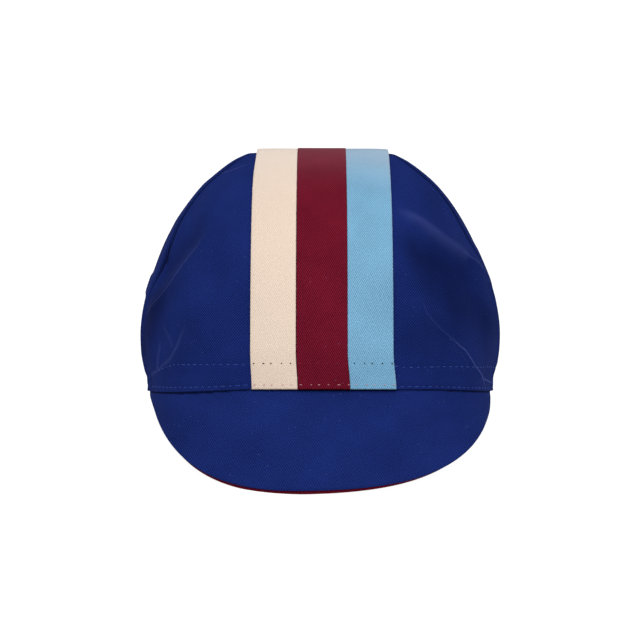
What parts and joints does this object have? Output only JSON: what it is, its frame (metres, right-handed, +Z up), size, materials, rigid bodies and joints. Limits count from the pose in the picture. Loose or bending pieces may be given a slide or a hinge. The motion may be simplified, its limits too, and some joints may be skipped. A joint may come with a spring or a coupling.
{
  "type": "cycling cap",
  "caption": "Soft cotton cycling cap with a short drooping peak, coloured tapes over its middle and an elastic gathered back.",
  "frame": {"origin": "on the surface that the cap stands on, below the middle of its overall box", "axes": "+Y to the back of the head, +Z up, +X to the right as the cap is seen from the front; the peak points to -Y"},
  "size_m": [0.17, 0.247, 0.1328],
  "materials": {
    "blue_twill": "matt cotton twill",
    "cream_tape": "matt cotton tape",
    "burgundy_tape": "matt cotton tape",
    "sky_tape": "matt cotton tape",
    "band_tape": "matt cotton webbing",
    "burgundy_twill": "matt cotton twill"
  },
  "bodies": {
    "root": {"crown_front_right": "blue_twill", "crown_front_left": "blue_twill", "crown_rear_right": "blue_twill", "crown_rear_left": "blue_twill", "tape_cream": "cream_tape", "tape_burgundy": "burgundy_tape", "tape_sky": "sky_tape", "sweatband": "band_tape", "peak_cover": "blue_twill", "peak_underside": "burgundy_twill"}
  },
  "joints": []
}
